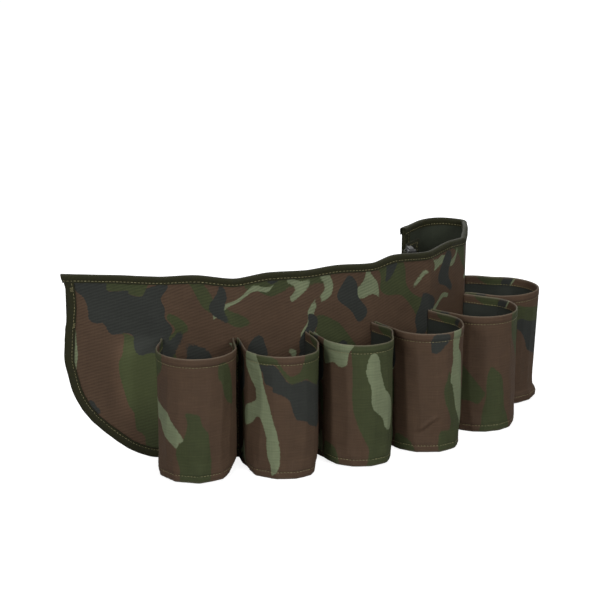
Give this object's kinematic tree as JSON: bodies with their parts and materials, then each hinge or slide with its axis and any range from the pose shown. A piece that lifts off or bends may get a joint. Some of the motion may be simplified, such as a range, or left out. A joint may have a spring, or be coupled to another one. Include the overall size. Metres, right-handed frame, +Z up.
{
  "type": "beer belt",
  "caption": "Camouflage cloth waist belt with a curved row of round open-topped bottle pockets, rounded end wings and a webbing strap with a side-release buckle.",
  "frame": {"origin": "on the table under the middle of the whole belt as it stands", "axes": "+X along the row of pockets from the left wing to the right end, -Y towards the pockets' outer side, +Z up"},
  "size_m": [0.4344, 0.2926, 0.1665],
  "materials": {
    "camouflage_cloth": "woven polyester with a printed four-colour woodland pattern",
    "lining_cloth": "plain dark woven lining",
    "binding_tape": "ribbed tape with a stitched edge",
    "webbing": "ribbed webbing",
    "elastic_band": "knitted elastic",
    "buckle_plastic": "satin moulded plastic"
  },
  "bodies": {
    "pocket_1": {"panel_1": "camouflage_cloth", "lining_1": "lining_cloth", "top_binding_1": "binding_tape", "bottom_binding_1": "binding_tape", "pocket_1": "camouflage_cloth", "pocket_base_1": "lining_cloth", "seam_1": "binding_tape"},
    "pocket_2": {"panel_2": "camouflage_cloth", "lining_2": "lining_cloth", "top_binding_2": "binding_tape", "bottom_binding_2": "binding_tape", "pocket_2": "camouflage_cloth", "pocket_base_2": "lining_cloth", "seam_2": "binding_tape"},
    "pocket_3": {"panel_3": "camouflage_cloth", "lining_3": "lining_cloth", "top_binding_3": "binding_tape", "bottom_binding_3": "binding_tape", "pocket_3": "camouflage_cloth", "pocket_base_3": "lining_cloth"},
    "pocket_4": {"panel_4": "camouflage_cloth", "lining_4": "lining_cloth", "top_binding_4": "binding_tape", "bottom_binding_4": "binding_tape", "pocket_4": "camouflage_cloth", "pocket_base_4": "lining_cloth", "seam_3": "binding_tape"},
    "pocket_5": {"panel_5": "camouflage_cloth", "lining_5": "lining_cloth", "top_binding_5": "binding_tape", "bottom_binding_5": "binding_tape", "pocket_5": "camouflage_cloth", "pocket_base_5": "lining_cloth", "seam_4": "binding_tape"},
    "pocket_6": {"panel_6": "camouflage_cloth", "lining_6": "lining_cloth", "top_binding_6": "binding_tape", "bottom_binding_6": "binding_tape", "pocket_6": "camouflage_cloth", "pocket_base_6": "lining_cloth", "seam_5": "binding_tape"},
    "left_wing": {"left_wing_panel": "camouflage_cloth", "left_wing_lining": "lining_cloth", "left_wing_binding": "binding_tape", "left_strap_anchor": "webbing", "left_wing_seam": "binding_tape"},
    "right_wing": {"right_wing_panel": "camouflage_cloth", "right_wing_lining": "lining_cloth", "right_wing_binding": "binding_tape", "right_strap_anchor": "webbing", "right_wing_seam": "binding_tape"},
    "left_strap": {"left_strap": "webbing"},
    "keeper": {"strap_keeper": "elastic_band"},
    "socket": {"buckle_socket": "buckle_plastic"},
    "right_strap": {"right_strap": "webbing"},
    "plug": {"buckle_plug": "buckle_plastic"},
    "upper_prong": {"upper_prong": "buckle_plastic"},
    "lower_prong": {"lower_prong": "buckle_plastic"}
  },
  "joints": [
    {"name": "left_wing_wrap", "type": "hinge", "parent": "pocket_1", "child": "left_wing", "pos_m": [-0.13277, -0.07575, 0.083], "axis": [0, 0, -1], "range_deg": [-40, 45]},
    {"name": "seam_1_2", "type": "hinge", "parent": "pocket_2", "child": "pocket_1", "pos_m": [-0.06678, -0.07459, 0.083], "axis": [0, 0, -1], "range_deg": [-9, 13]},
    {"name": "seam_2_3", "type": "hinge", "parent": "pocket_3", "child": "pocket_2", "pos_m": [-0.00401, -0.0542, 0.083], "axis": [0, 0, -1], "range_deg": [-1, 21]},
    {"name": "seam_3_4", "type": "hinge", "parent": "pocket_3", "child": "pocket_4", "pos_m": [0.0548, -0.02424, 0.083], "axis": [0, 0, 1], "range_deg": [-2, 20]},
    {"name": "seam_4_5", "type": "hinge", "parent": "pocket_4", "child": "pocket_5", "pos_m": [0.10751, 0.01548, 0.083], "axis": [0, 0, 1], "range_deg": [-12, 10]},
    {"name": "seam_5_6", "type": "hinge", "parent": "pocket_5", "child": "pocket_6", "pos_m": [0.14346, 0.07084, 0.083], "axis": [0, 0, 1], "range_deg": [-20, 2]},
    {"name": "right_wing_open", "type": "hinge", "parent": "pocket_6", "child": "right_wing", "pos_m": [0.14921, 0.13659, 0.083], "axis": [0, 0, -1], "range_deg": [-4, 75]},
    {"name": "left_strap_unfold", "type": "hinge", "parent": "left_wing", "child": "left_strap", "pos_m": [-0.21505, -0.05935, 0.132], "axis": [0, 0, 1], "range_deg": [0, 180]},
    {"name": "socket_tilt", "type": "hinge", "parent": "left_strap", "child": "socket", "pos_m": [-0.18932, -0.04935, 0.132], "axis": [0, 0, 1], "range_deg": [0, 100]},
    {"name": "right_strap_swing", "type": "hinge", "parent": "right_wing", "child": "right_strap", "pos_m": [0.09025, 0.09838, 0.132], "axis": [0, 0, 1], "range_deg": [-132, 6]},
    {"name": "plug_tilt", "type": "hinge", "parent": "right_strap", "child": "plug", "pos_m": [0.09169, 0.0721, 0.132], "axis": [0, 0, 1], "range_deg": [-75, 12]},
    {"name": "upper_prong_flex", "type": "hinge", "parent": "plug", "child": "upper_prong", "pos_m": [0.09478, 0.05753, 0.144], "axis": [0.9781, 0.2079, 0], "range_deg": [0, 11], "stiffness_Nm_per_rad": 0.05},
    {"name": "lower_prong_flex", "type": "hinge", "parent": "plug", "child": "lower_prong", "pos_m": [0.09478, 0.05753, 0.12], "axis": [-0.9781, -0.2079, 0], "range_deg": [0, 11], "stiffness_Nm_per_rad": 0.05},
    {"name": "keeper_slide", "type": "slide", "parent": "left_strap", "child": "keeper", "axis": [0.9893, -0.1461, 0], "range_m": [-0.012, 0.008]}
  ]
}
